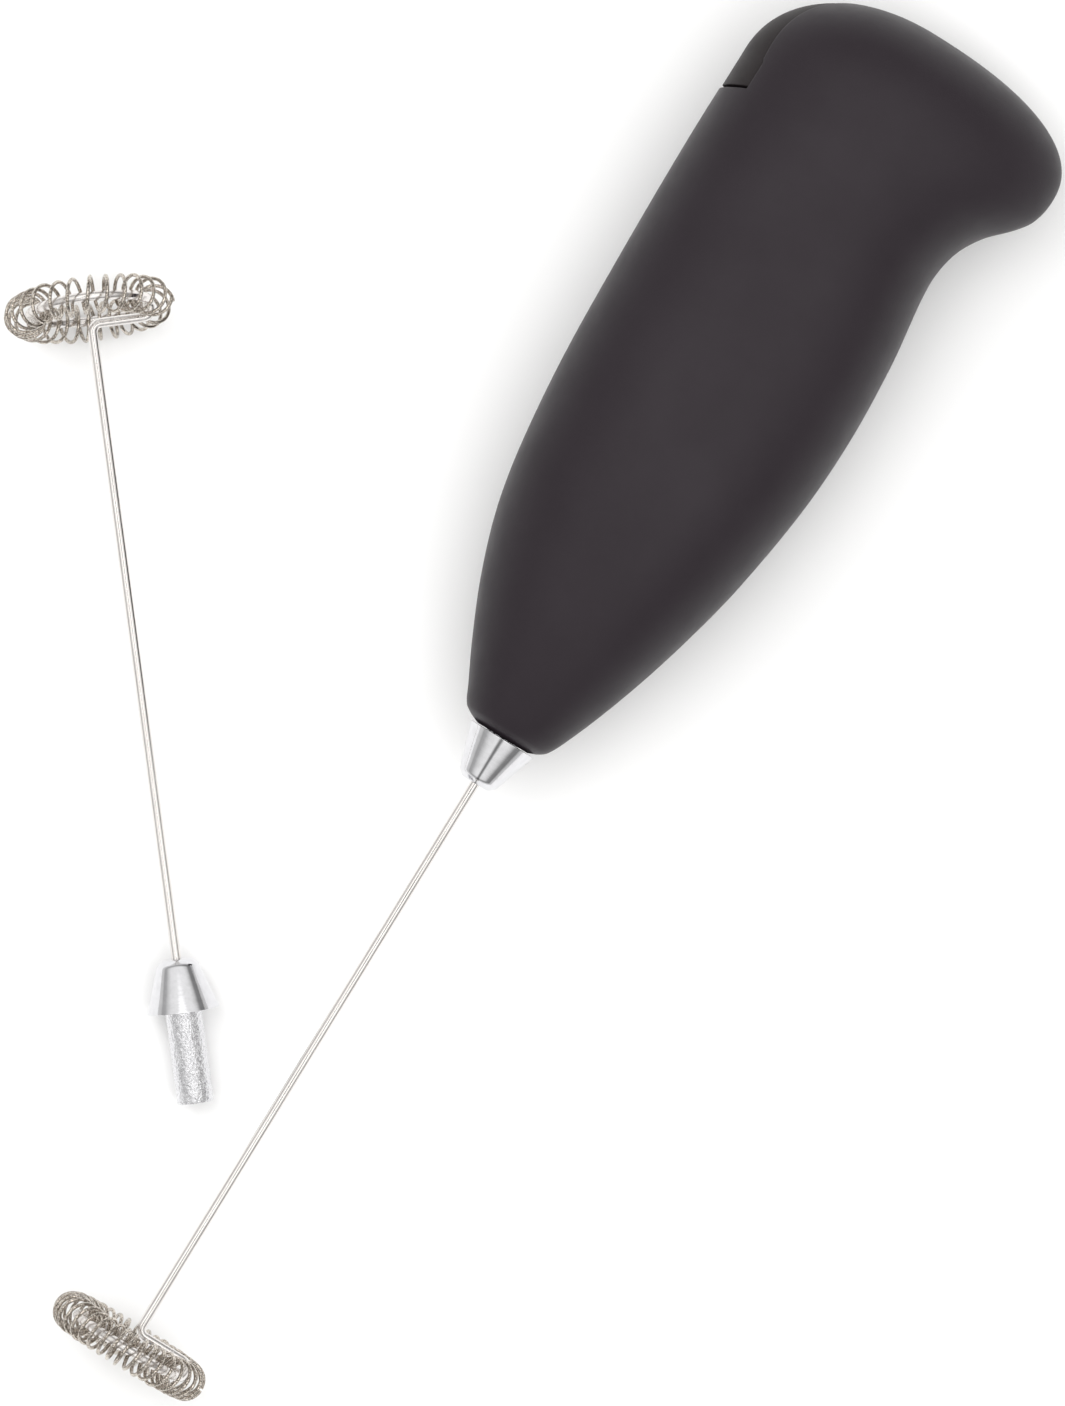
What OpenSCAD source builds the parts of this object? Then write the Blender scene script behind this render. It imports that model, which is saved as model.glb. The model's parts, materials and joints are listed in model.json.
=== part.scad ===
// Battery milk frother with a pull-out spring whisk, lying on its side on a table,
// and its spare whisk lying beside it. All sizes in millimetres.
//
// Every piece is drawn upright about the spindle: +Z runs up the handle from its nose,
// +X points to the beak at the top of the handle, and +Y points to the base shell.
// lay_down() turns the drawn piece over, so that the base shell lies on the table.

/* [Handle] */
// Length of the handle from nose to crown
handle_len = 117.2; // [116.6:0.2:118.6]
// Reach of each shell from the split to its side
side_reach = 16.5; // [16.2:0.1:17.2]
// Wall thickness of the shells
wall = 1.8; // [1.6:0.1:1.9]
// Radius of the opening in the nose
nose_hole_r = 3.8; // [3.7:0.05:3.9]

/* [Batteries] */
// Radius of one AA cell
cell_r = 7.15; // [6.9:0.05:7.2]
// Length of one cell without its nipple
cell_len = 49.2; // [48.6:0.1:49.4]
// Distance of each cell's axis from the spindle
cell_offset = 7.6; // [7.5:0.05:7.8]

/* [Motor] */
// Radius of the motor can
can_r = 10; // [9.4:0.1:10.1]
// Half height of the can across its flats
can_flat = 7.6; // [7.2:0.1:7.7]
// Length of the can
can_len = 16.5; // [15.5:0.5:16.5]
// Radius of the motor shaft
shaft_r = 1; // [0.9:0.05:1.1]
// Radial clearance of a turning shaft or pin in its bore
run_gap = 0.04; // [0.02:0.01:0.08]

/* [Switch] */
// Half width of the thumb strip
strip_w = 9.4; // [8.5:0.1:9.6]
// Height of the strip's lower edge above the nose
strip_low = 95.3; // [95:0.1:96]
// Height of the strip's tip above the nose
strip_tip = 115.2; // [114.8:0.1:115.4]
// Gap around the strip, wider below it where the edge swings down
strip_gap = 0.3; // [0.25:0.05:0.35]
// Gap below the strip
strip_low_gap = 0.6; // [0.55:0.05:0.7]
// How far the strip's middle sits below the shell's surface
strip_recess = 0.12; // [0.1:0.02:0.2]
// How much further its sides sit below it
strip_side_recess = 0.3; // [0.1:0.05:0.35]

/* [Whisk] */
// Radius of the plug that the drive socket takes
plug_r = 2.65; // [2.5:0.05:2.75]
// Length of the plug
plug_len = 13.4; // [12:0.1:13.6]
// Radius of the cone at its base
cone_r = 5.25; // [4.8:0.05:5.4]
// Length of the cone
cone_len = 7.45; // [6.8:0.05:8]
// Radius of the stem wire
stem_r = 0.7; // [0.6:0.05:0.75]
// Distance from the cone's base to the ring's centre
ring_drop = 101.2; // [96:0.2:102]
// Radius of the ring along the middle of its coil
ring_r = 9.5; // [9:0.1:10]
// Outer radius of the coil
coil_r = 2.95; // [2.7:0.05:3]
// Radius of the coil's wire
coil_wire_r = 0.28; // [0.22:0.02:0.3]
// Height of the arm above the ring's plane
arm_rise = 2.2; // [2:0.05:2.3]
// Turns of the coil on the fitted whisk
coil_turns = 40; // [34:1:42]
// Turns of the coil on the spare whisk
spare_turns = 28; // [24:1:34]

/* [Spare whisk] */
// Place of the spare cone's base on the table, from the spindle's nose
spare_at = [-18.6, -57.1];
// Bearing of the spare stem, from the spindle's own
spare_bearing = 219; // [215:1:222]
// Twist of the spare ring about its arm
spare_lean = 14; // [0:1:14]

/* [Hidden] */
$fn = 48;

// Colours
shell_colour = [0.22, 0.21, 0.22];
strip_colour = [0.2, 0.18, 0.18];
steel_colour = [0.76, 0.74, 0.7];
chrome_colour = [0.85, 0.85, 0.87];
brass_colour = [0.8, 0.64, 0.3];
frame_colour = [0.85, 0.85, 0.82];

// Side outlines of the handle, [height, distance from the spindle]. Above the last
// point each outline closes over the crown as a quarter of a superellipse.
back_line = [[0, 4.2], [0.6, 5.6], [1.5, 6.9], [4, 8.2], [10, 11.2], [18, 14.7],
    [27, 17.7], [36, 19.5], [50, 21], [66, 21.7], [86, 22.1], [101.5, 22]];
front_line = [[0, 4.1], [0.6, 5.5], [1.5, 6.6], [4, 7.9], [10, 10.3], [18, 13],
    [27, 15.5], [36, 17.5], [50, 19.5], [62, 20], [74, 19.4], [86.5, 18],
    [92, 18.8], [96, 21], [99.5, 24.3], [102, 26], [105.8, 26.7]];
side_line = [[0, 4.1], [0.6, 5.5], [1.5, 6.7], [4, 8], [10, 10.3], [18, 12.9],
    [27, 14.9], [36, 16.1], [46, side_reach], [60, side_reach], [86, side_reach],
    [102, side_reach - 0.2]];
back_crown = 2.1;
front_crown = 2.4;
side_crown = 2.3;

// Rings of the shell from nose to crown, and the steps round half a ring
crown_start = 103;
ring_levels = concat([0, 0.6, 1.5, 4], [for (z = [8.5:5.5:85.5]) z],
    [for (z = [89:2.8:100.3]) z],
    [for (a = [0:11:77]) crown_start + (handle_len - crown_start) * sin(a)],
    [for (a = [83, 88]) crown_start + (handle_len - crown_start) * sin(a)]);
half_steps = 20;

// Places along the spindle
whisk_gap = 0.12;
socket_end = 19.6;
socket_depth = 13.8;
can_low = 21;
can_high = can_low + can_len;
cap_high = can_high + 3;
bulkhead = [43.2, 44.4];
cell_low = 46.9;
tray_top = [98.6, 99.8];
nipple = 1.1;
cell_high = cell_low + cell_len + nipple;

// Housing's fixings: screw bosses in the base and hooks on the cover
split_gap = 0.03;
boss_r = 2.1;
hook_len = 7;
back_hooks_at = [50, 70];
beak_hooks_at = [50, 66];

// Chassis
pipe_r = cell_r + 0.2;
pipe_wall = 1;
wall_low_y = -5;
floor_y = can_flat + 0.1;
floor_t = 1.3;
cradle_t = 1.4;
cradle_gap = 0.05;
chassis_screw_at = [[0, 58], [0, 86], [9, 104.5]];
chassis_screw_r = 0.85;
strap_z = [30, 36];
strap_middle = (strap_z[0] + strap_z[1]) / 2;
strap_post_x = 12.2;
strap_post_half = 1.1;
strap_t = 1.1;
strap_screw_r = 0.65;

// Contact plates
plate_t = 0.3;
plate_half = 4.5;
plate_reach = [2.5, 12.5];

// Motor
can_wall = 0.8;
armature_r = 6.4;
armature_low = can_low + 3;
armature_len = 9.5;
bush_r = 2.4;
brush_y = [2.66, 4.3];
terminal_x = 5.6;
terminal_t = 0.4;
lead_r = 0.6;

// Switch
pin_at = [-14.2, 107.5];
pin_r = 1;
fork_y = [3.4, 5.2];
hub_y = 3.1;
leaf_x = -17.6;
leaf_t = 0.25;
leaf_low = 82.5;
leaf_root = 88;
leaf_tip = 101;
leaf_half = 2;
nub_z = 98.5;

// Whisk wire, from the stem to the ring inside the coil
socket_r = 3.4;
bend_r = 1.3;
arm_z = arm_rise - ring_drop;
core_r = 8.6;
drop_r = 1.1;
turn_r = arm_rise - drop_r;
core_angle = 334;
drop_x = sqrt(core_r * core_r - turn_r * turn_r);
coil_gap = 10;

// Where the spindle lies, and the footprint's centre
lie_height = side_reach;
footprint = [-32.87, 6.53];
ring_tilt = 10;
spare_slope = asin((coil_r + ring_r * cos(ring_tilt) + arm_rise * sin(spare_lean)
    - cone_r) / ring_drop);

// ---------------------------------------------------------------- outlines

// Which stretch of a line holds a height
function stretch(line, z, i = 0) =
    i >= len(line) - 2 || z <= line[i + 1][0] ? i : stretch(line, z, i + 1);

// Slope of a line at its point i, level at its last point
function slope(line, i) =
    i == len(line) - 1 ? 0
    : let (a = max(i - 1, 0), b = i + 1) (line[b][1] - line[a][1]) / (line[b][0] - line[a][0]);

// A smooth curve through a line's points
function along(line, z) =
    let (i = stretch(line, z), w = line[i + 1][0] - line[i][0], t = (z - line[i][0]) / w,
        p = line[i][1], q = line[i + 1][1],
        a = slope(line, i) * w, b = slope(line, i + 1) * w)
    p + t * (a + t * (3 * (q - p) - 2 * a - b + t * (2 * (p - q) + a + b)));

// Distance from the spindle at a height, inset from the outer surface
function reach(line, crown, z, inset) =
    let (top = line[len(line) - 1], h = handle_len - top[0] - inset)
    z <= top[0] ? along(line, z) - inset
    : (top[1] - inset) * pow(max(0, 1 - pow((z - top[0]) / h, crown)), 1 / crown);

function back(z, inset) = reach(back_line, back_crown, z, inset);
function front(z, inset) = reach(front_line, front_crown, z, inset);
function side(z, inset) = reach(side_line, side_crown, z, inset);

// How square a ring is: round at the nose, fuller in the grip, keener under the beak
function ease(t) = let (u = min(max(t, 0), 1)) u * u * (3 - 2 * u);
function back_square(z) = 2 + 0.25 * ease(z / 40);
function front_square(z) = 2 + 0.25 * ease(z / 40) - 0.45 * ease((z - 84) / 18);

// Point of a ring at an angle from the beak, on the base's side of the split
function ring_point(z, angle, inset) =
    let (c = cos(angle), s = sin(angle), n = c < 0 ? back_square(z) : front_square(z))
    [c < 0 ? -back(z, inset) * pow(-c, 2 / n) : front(z, inset) * pow(c, 2 / n),
        side(z, inset) * pow(max(s, 0), 2 / n), z];

// The back surface at a height and a distance from the split
function back_skin(z, y, inset) =
    let (n = back_square(z), t = min(abs(y) / side(z, inset), 1))
    -back(z, inset) * pow(1 - pow(t, n), 1 / n);

// The side surface at a height and a distance from the spindle
function side_skin(z, x, inset) =
    let (n = x < 0 ? back_square(z) : front_square(z),
        r = x < 0 ? back(z, inset) : front(z, inset))
    side(z, inset) * pow(1 - pow(min(abs(x) / r, 1), n), 1 / n);

// Half width of the thumb strip at a height: straight, then drawn in to its tip
function strip_half(z) =
    let (shoulder = 101, t = (z - shoulder) / (strip_tip - shoulder))
    z <= shoulder ? strip_w : (strip_w - 0.3) * pow(max(0, 1 - pow(t, 1.7)), 1 / 1.7);
function strip_edge(y) = strip_low + 1.4 * pow(y / strip_w, 2);
function strip_sink(y) = strip_recess + strip_side_recess * pow(y / strip_w, 2);

// ---------------------------------------------------------------- swept wires

function cross_unit(a, b) = let (c = cross(a, b)) c / norm(c);

// Closed tube through rings of points, each ring of the same count
module tube_solid(rings) {
    sides = len(rings[0]);
    last = len(rings) - 1;
    polyhedron(
        points = [for (ring = rings) each ring],
        faces = concat(
            [[for (k = [0:sides - 1]) sides - 1 - k]],
            [for (i = [0:last - 1], k = [0:sides - 1])
                [i * sides + k, i * sides + (k + 1) % sides, (i + 1) * sides + k]],
            [for (i = [0:last - 1], k = [0:sides - 1])
                [i * sides + (k + 1) % sides, (i + 1) * sides + (k + 1) % sides,
                    (i + 1) * sides + k]],
            [[for (k = [0:sides - 1]) last * sides + k]]));
}

// Wire wound round a ring that lies flat at the origin
module ring_coil(turns, from, to) {
    steps = 10;
    sides = 5;
    wind_r = coil_r - coil_wire_r;
    count = round(turns * (to - from) / 360);
    total = count * steps;
    function centre(i) =
        let (a = from + (to - from) * i / total, w = 360 * i / steps)
        [(ring_r + wind_r * cos(w)) * cos(a), (ring_r + wind_r * cos(w)) * sin(a),
            wind_r * sin(w)];
    function outward(i) =
        let (a = from + (to - from) * i / total, w = 360 * i / steps)
        [cos(w) * cos(a), cos(w) * sin(a), sin(w)];
    function across(i) = cross_unit(centre(i + 0.5) - centre(i - 0.5), outward(i));
    tube_solid([for (i = [0:total]) [for (k = [0:sides - 1])
        let (t = -360 * k / sides)
        centre(i) + coil_wire_r * (cos(t) * outward(i) + sin(t) * across(i))]]);
}

// Contact spring standing on z = 0, closing in towards its top
module cone_spring(r_low, r_high, height, turns) {
    steps = 12;
    sides = 6;
    wire = 0.25;
    total = turns * steps;
    function centre(i) =
        let (r = r_low + (r_high - r_low) * i / total, w = 360 * i / steps)
        [r * cos(w), r * sin(w), wire + (height - 2 * wire) * i / total];
    function outward(i) = let (w = 360 * i / steps) [cos(w), sin(w), 0];
    function across(i) = cross_unit(centre(i + 0.5) - centre(i - 0.5), outward(i));
    tube_solid([for (i = [0:total]) [for (k = [0:sides - 1])
        let (t = -360 * k / sides)
        centre(i) + wire * (cos(t) * outward(i) + sin(t) * across(i))]]);
}

// Insulated lead along a route of points
module lead(route, r) {
    sides = 8;
    last = len(route) - 1;
    function heading(i) =
        let (d = route[min(i + 1, last)] - route[max(i - 1, 0)]) d / norm(d);
    function first(i) = cross_unit(heading(i), [0.3, 1, 0.2]);
    function second(i) = cross_unit(heading(i), first(i));
    tube_solid([for (i = [0:last]) [for (k = [0:sides - 1])
        let (t = -360 * k / sides)
        route[i] + r * (cos(t) * first(i) + sin(t) * second(i))]]);
}

// ---------------------------------------------------------------- placing

module lay_down() {
    translate([-footprint[0], -footprint[1], lie_height]) rotate([-90, 0, 0]) children();
}

module fitted() {
    lay_down() translate([0, 0, -whisk_gap]) children();
}

module lay_spare() {
    translate([spare_at[0] - footprint[0], spare_at[1] - footprint[1], cone_r * cos(spare_slope)])
        rotate([0, 0, spare_bearing])
            rotate([-90 - spare_slope, 0, 0])
                rotate([0, 0, 180])
                    children();
}

// Cylinder along Y from one height to another
module post(x, z, y_low, y_high, r) {
    translate([x, y_high, z]) rotate([90, 0, 0]) cylinder(h = y_high - y_low, r = r);
}

module block(x, y, z) {
    translate([x[0], y[0], z[0]]) cube([x[1] - x[0], y[1] - y[0], z[1] - z[0]]);
}

// ---------------------------------------------------------------- housing

// Half of the hollow handle on the base's side of the split
module half_shell() {
    m = half_steps;
    last = len(ring_levels) - 1;
    inner_low = wall;
    inner_scale = (handle_len - 2 * wall) / handle_len;
    outer = [for (z = ring_levels) each [for (k = [0:m]) ring_point(z, 180 * k / m, 0)]];
    inner = [for (z = ring_levels) each [for (k = [0:m])
        ring_point(inner_low + z * inner_scale, 180 * k / m, wall)]];
    w = m + 1;
    base = len(outer);
    polyhedron(
        points = concat(outer, inner),
        faces = concat(
            [for (i = [0:last - 1], k = [0:m - 1]) [i * w + k, (i + 1) * w + k, i * w + k + 1]],
            [for (i = [0:last - 1], k = [0:m - 1])
                [i * w + k + 1, (i + 1) * w + k, (i + 1) * w + k + 1]],
            [for (i = [0:last - 1], k = [0:m - 1])
                [base + i * w + k, base + i * w + k + 1, base + (i + 1) * w + k]],
            [for (i = [0:last - 1], k = [0:m - 1])
                [base + i * w + k + 1, base + (i + 1) * w + k + 1, base + (i + 1) * w + k]],
            [for (i = [0:last - 1]) [i * w, base + i * w, base + (i + 1) * w, (i + 1) * w]],
            [for (i = [0:last - 1])
                [i * w + m, (i + 1) * w + m, base + (i + 1) * w + m, base + i * w + m]],
            [[for (k = [0:m]) k]],
            [[for (k = [0:m]) last * w + m - k]],
            [[for (k = [0:m]) base + m - k]],
            [[for (k = [0:m]) base + last * w + k]],
            [[0, m, base + m, base]],
            [[last * w, base + last * w, base + last * w + m, last * w + m]]));
}

// Opening for the thumb strip, cut through from the back
module strip_opening() {
    levels = [for (z = [101:2:113]) z];
    right = concat([[strip_w + strip_gap, 101]],
        [for (z = levels) if (z > 101) [strip_half(z) + strip_gap, z]],
        [[3, strip_tip - 0.2], [0, strip_tip + strip_gap]]);
    low = [for (k = [-4:4]) let (y = -(strip_w + strip_gap) * k / 4)
        [y, strip_edge(y) - strip_low_gap]];
    outline = concat(right, [for (i = [len(right) - 2:-1:0]) [-right[i][0], right[i][1]]],
        [for (i = [len(low) - 1:-1:0]) low[i]]);
    translate([-30, 0, 0]) rotate([90, 0, 90]) linear_extrude(height = 25.5) polygon(outline);
}

module shell_openings() {
    translate([0, 0, -1]) cylinder(h = 4, r = nose_hole_r);
    strip_opening();
}

module screw_boss(x, z) {
    post(x, z, floor_y + floor_t, side_skin(z, x, wall / 2), boss_r);
}

module housing_base() {
    lay_down() color(shell_colour) {
        difference() {
            union() {
                difference() {
                    half_shell();
                    shell_openings();
                }
                for (at = chassis_screw_at)
                    screw_boss(at[0], at[1]);
            }
            for (at = chassis_screw_at)
                post(at[0], at[1], floor_y, floor_y + floor_t + 4.6, chassis_screw_r);
        }
    }
}

// Hook that reaches from the cover into the base, just inside its wall
module cover_hook(z, sign) {
    x_wall = sign > 0 ? min(front(z, wall), front(z + hook_len, wall))
        : min(back(z, wall), back(z + hook_len, wall));
    mirror([sign > 0 ? 0 : 1, 0, 0]) {
        block([x_wall - 1.5, x_wall - 0.35], [-2, 2.4], [z, z + hook_len]);
        block([x_wall - 1.5, x_wall + 0.5], [-2.6, -1.4], [z, z + hook_len]);
    }
}

module housing_cover() {
    lay_down() color(shell_colour) {
        difference() {
            mirror([0, 1, 0]) translate([0, split_gap, 0]) half_shell();
            shell_openings();
        }
        for (z = back_hooks_at)
            cover_hook(z, -1);
        for (z = beak_hooks_at)
            cover_hook(z, 1);
    }
}

// ---------------------------------------------------------------- chassis

module cell_circles(r) {
    for (side = [-1, 1])
        translate([side * cell_offset, 0]) circle(r = r);
}

// Round can with two flats, grown by a margin
module can_outline(grow) {
    intersection() {
        circle(r = can_r + grow);
        square([3 * can_r, 2 * (can_flat + grow)], center = true);
    }
}

// Two half pipes for the cells and the end walls that carry the contacts
module battery_tray() {
    translate([0, 0, bulkhead[0]]) linear_extrude(height = tray_top[1] - bulkhead[0])
        difference() {
            cell_circles(pipe_r + pipe_wall);
            cell_circles(pipe_r);
            translate([-30, -60]) square([60, 60]);
        }
    for (z = [bulkhead, tray_top])
        translate([0, 0, z[0]]) linear_extrude(height = z[1] - z[0])
            difference() {
                union() {
                    cell_circles(pipe_r + pipe_wall);
                    translate([-cell_offset, wall_low_y])
                        square([2 * cell_offset, floor_y + floor_t - wall_low_y]);
                }
                translate([-30, wall_low_y - 60]) square([60, 60]);
            }
}

// Width of the post that one ear of the strap is screwed to
function strap_post(sign) =
    [sign * strap_post_x - strap_post_half, sign * strap_post_x + strap_post_half];

module motor_cradle() {
    translate([0, 0, can_low + 1.5]) linear_extrude(height = can_len + 0.5)
        difference() {
            can_outline(cradle_t);
            can_outline(cradle_gap);
            translate([-30, -60]) square([60, 60]);
        }
    for (sign = [-1, 1])
        block(strap_post(sign), [0, 4.6], strap_z);
}

// Two ears that hold the button's pin
module switch_fork() {
    for (sign = [-1, 1]) {
        y = sign > 0 ? fork_y : [-fork_y[1], -fork_y[0]];
        post(pin_at[0], pin_at[1], y[0], y[1], 1.6);
        block([pin_at[0] - 1.6, pin_at[0] + 1.6], y, [tray_top[0], pin_at[1]]);
    }
}

module chassis() {
    lay_down() color(frame_colour) difference() {
        union() {
            battery_tray();
            motor_cradle();
            block([-cell_offset, cell_offset], [floor_y, floor_y + floor_t],
                [can_high - 3, tray_top[1]]);
            block([5, 12.5], [floor_y, floor_y + floor_t], [tray_top[0], 107.5]);
            block([leaf_x + leaf_t / 2 + 0.025, -cell_offset - pipe_r - 0.05], [-2.6, 2.6],
                [leaf_low + 1, leaf_root - 0.5]);
            switch_fork();
        }
        for (at = chassis_screw_at) {
            post(at[0], at[1], -1, floor_y, boss_r);
            post(at[0], at[1], floor_y - 1, floor_y + floor_t + 1, chassis_screw_r + 0.3);
        }
        for (sign = [-1, 1])
            post(sign * strap_post_x, strap_middle, -1, 4.2, strap_screw_r);
        post(pin_at[0], pin_at[1], -6, 6, pin_r);
        block([-1.5, 1.5], [-1, plate_half + 0.1], [tray_top[0] - plate_t - 0.1, tray_top[0]]);
    }
}

// Screw along Y: its head's seat is at y, and its shank runs on towards +Y
module screw(x, y, z, head_r, r, length) {
    difference() {
        post(x, z, y - 1.3, y, head_r);
        block([x - 0.25, x + 0.25], [y - 1.5, y - 0.7], [z - head_r * 0.7, z + head_r * 0.7]);
        block([x - head_r * 0.7, x + head_r * 0.7], [y - 1.5, y - 0.7], [z - 0.25, z + 0.25]);
    }
    post(x, z, y, y + length, r);
}

module chassis_screws() {
    lay_down() color(steel_colour)
        for (at = chassis_screw_at)
            screw(at[0], floor_y, at[1], 1.9, chassis_screw_r, floor_t + 4.4);
}

module motor_strap() {
    lay_down() color(steel_colour) difference() {
        union() {
            translate([0, 0, strap_z[0]]) linear_extrude(height = strap_z[1] - strap_z[0])
                difference() {
                    can_outline(strap_t);
                    can_outline(cradle_gap);
                    translate([-30, 0]) square([60, 60]);
                }
            for (sign = [-1, 1])
                mirror([sign > 0 ? 0 : 1, 0, 0])
                    block([can_r + strap_t / 2, strap_post_x + strap_post_half],
                        [-strap_t, 0], strap_z);
        }
        for (sign = [-1, 1])
            post(sign * strap_post_x, strap_middle, -2, 1, strap_screw_r + 0.05);
    }
}

module strap_screws() {
    lay_down() color(steel_colour)
        for (sign = [-1, 1])
            screw(sign * strap_post_x, -strap_t, strap_middle, 1, strap_screw_r, 4.8);
}

// ---------------------------------------------------------------- batteries and wiring

// One AA cell standing on z = 0 with its nipple up
module cell() {
    rotate_extrude() polygon([[0, 0], [cell_r - 0.6, 0], [cell_r, 0.5],
        [cell_r, cell_len - 0.5], [cell_r - 0.6, cell_len], [2.7, cell_len],
        [2.7, cell_len + nipple], [0, cell_len + nipple]]);
}

module battery_a() {
    lay_down() color([0.45, 0.47, 0.5]) translate([-cell_offset, 0, cell_low]) cell();
}

module battery_b() {
    lay_down() color([0.45, 0.47, 0.5])
        translate([cell_offset, 0, cell_high]) rotate([180, 0, 0]) cell();
}

module negative_spring() {
    lay_down() color(steel_colour) {
        mirror([1, 0, 0])
            block(plate_reach, [-plate_half, plate_half], [bulkhead[1], bulkhead[1] + plate_t]);
        translate([-cell_offset, 0, bulkhead[1] + plate_t / 2])
            cone_spring(4.2, 2.4, cell_low - bulkhead[1] - plate_t / 2, 3);
    }
}

module positive_plate() {
    lay_down() color(steel_colour) {
        block(plate_reach, [-plate_half, plate_half], [bulkhead[1], bulkhead[1] + plate_t]);
        translate([cell_offset, 0, bulkhead[1] + plate_t])
            cylinder(h = cell_low - bulkhead[1] - plate_t, r1 = 3.2, r2 = 1.8);
    }
}

module bridge_contact() {
    lay_down() color(steel_colour) {
        block([-plate_reach[1], plate_reach[1]], [-plate_half, plate_half],
            [tray_top[0] - plate_t, tray_top[0]]);
        translate([-cell_offset, 0, cell_high])
            cylinder(h = tray_top[0] - plate_t - cell_high, r1 = 1.8, r2 = 3);
        translate([cell_offset, 0, tray_top[0] - plate_t / 2]) rotate([180, 0, 0])
            cone_spring(4.2, 2.6, tray_top[0] - plate_t / 2 - cell_high, 1.5);
    }
}

// Routes of the leads: positive plate to motor, switch contact to motor, and negative
// plate to the root of the switch leaf
red_route = [[9.5, -5.4, 44.6], [9.5, -6.2, 44], [9.2, -6.8, 43], [8.4, -7, 42],
    [7.2, -6.6, 41.3], [6.2, -5.6, 41.4], [5.6, -4.6, 41.6]];
black_route = [[-15.16, 1.7, 101.9], [-15.9, 1.8, 101.9], [-16.5, 2.5, 101.7],
    [-16.6, 3.5, 101.2], [-16.6, 4.8, 100.2], [-16.5, 6, 98.5], [-16.4, 6.4, 95],
    [-16.4, 6.4, 82], [-16.4, 6.4, 70], [-16.3, 6.4, 58], [-15.8, 6, 50],
    [-15.3, 5.6, 46], [-15.2, 5.5, 44], [-14.9, 5.3, 42.6], [-13.6, 4.2, 41.6],
    [-11, 1.8, 41.2], [-8.6, -0.8, 41.2], [-7.2, -1.8, 41.4], [-5.82, -1.8, 41.5]];
switch_route = [[-12.52, -3.5, 45.02], [-13.6, -3.5, 45.1], [-14.7, -3.6, 45.5],
    [-15.6, -3.7, 46.4], [-16, -3.7, 48], [-16.4, -3.6, 54], [-16.6, -3.4, 66],
    [-16.8, -2.8, 76], [-17.3, -1.2, 80], [-17.6, -0.3, 81.5], [-17.6, 0, 82.45]];

module red_lead() {
    lay_down() color([0.7, 0.12, 0.1]) lead(red_route, lead_r);
}

module black_lead() {
    lay_down() color([0.1, 0.1, 0.1]) lead(black_route, lead_r);
}

module switch_lead() {
    lay_down() color([0.1, 0.1, 0.1]) lead(switch_route, lead_r);
}

// ---------------------------------------------------------------- switch

// Thumb strip: a curved plate that follows the back of the handle
module strip_plate() {
    rows = 12;
    cols = 10;
    w = cols + 1;
    base = (rows + 1) * w;
    function across(k, z) = strip_half(z) * (2 * k / cols - 1);
    function level(i, k) =
        let (s = sin(90 * i / rows), top = strip_tip - 0.35, side = 2 * k / cols - 1)
        (1 - s) * strip_edge(strip_w * side) + s * top;
    function place(z, y, inset) = [back_skin(z, y, inset), y, z];
    polyhedron(
        points = concat(
            [for (i = [0:rows], k = [0:cols])
                let (z = level(i, k), y = across(k, z)) place(z, y, strip_sink(y))],
            [for (i = [0:rows], k = [0:cols])
                let (z = level(i, k)) place(z, across(k, z), wall)]),
        faces = concat(
            [for (i = [0:rows - 1], k = [0:cols - 1]) [i * w + k, i * w + k + 1, (i + 1) * w + k]],
            [for (i = [0:rows - 1], k = [0:cols - 1])
                [i * w + k + 1, (i + 1) * w + k + 1, (i + 1) * w + k]],
            [for (i = [0:rows - 1], k = [0:cols - 1])
                [base + i * w + k, base + (i + 1) * w + k, base + i * w + k + 1]],
            [for (i = [0:rows - 1], k = [0:cols - 1])
                [base + i * w + k + 1, base + (i + 1) * w + k, base + (i + 1) * w + k + 1]],
            [for (i = [0:rows - 1]) [i * w, (i + 1) * w, base + i * w]],
            [for (i = [0:rows - 1]) [base + i * w, (i + 1) * w, base + (i + 1) * w]],
            [for (i = [0:rows - 1]) [i * w + cols, base + i * w + cols, (i + 1) * w + cols]],
            [for (i = [0:rows - 1])
                [base + i * w + cols, base + (i + 1) * w + cols, (i + 1) * w + cols]],
            [for (k = [0:cols - 1]) [k, base + k, k + 1]],
            [for (k = [0:cols - 1]) [k + 1, base + k, base + k + 1]],
            [for (k = [0:cols - 1]) [rows * w + k, rows * w + k + 1, base + rows * w + k]],
            [for (k = [0:cols - 1])
                [rows * w + k + 1, base + rows * w + k + 1, base + rows * w + k]]));
}

module switch_button() {
    lay_down() color(strip_colour) difference() {
        union() {
            strip_plate();
            post(pin_at[0], pin_at[1], -hub_y, hub_y, 2);
            block([-19, pin_at[0]], [-hub_y, hub_y], [pin_at[1] - 1.2, pin_at[1] + 1.2]);
            block([-20.8, leaf_x - leaf_t / 2 - 0.15], [-1.2, 1.2], [nub_z - 0.8, nub_z + 0.8]);
        }
        post(pin_at[0], pin_at[1], -hub_y - 1, hub_y + 1, pin_r + run_gap);
    }
}

module button_pin() {
    lay_down() color(steel_colour) post(pin_at[0], pin_at[1], -fork_y[1], fork_y[1], pin_r);
}

module switch_leaf() {
    lay_down() color(brass_colour)
        block([leaf_x - leaf_t / 2, leaf_x + leaf_t / 2], [-leaf_half, leaf_half],
            [leaf_low, leaf_tip]);
}

module switch_contact() {
    pad_x = -16.75;
    lay_down() color(brass_colour) {
        translate([pad_x, 0, 100.9]) rotate([0, 90, 0]) cylinder(h = 1.6, r = 0.9);
        block([pad_x + 1.6, pad_x + 1.9], [-2.2, 2.2], [tray_top[1], 102.8]);
        block([pad_x + 1.6, pad_x + 4.4], [-2.2, 2.2], [tray_top[1], tray_top[1] + 0.3]);
    }
}

// ---------------------------------------------------------------- motor

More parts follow.
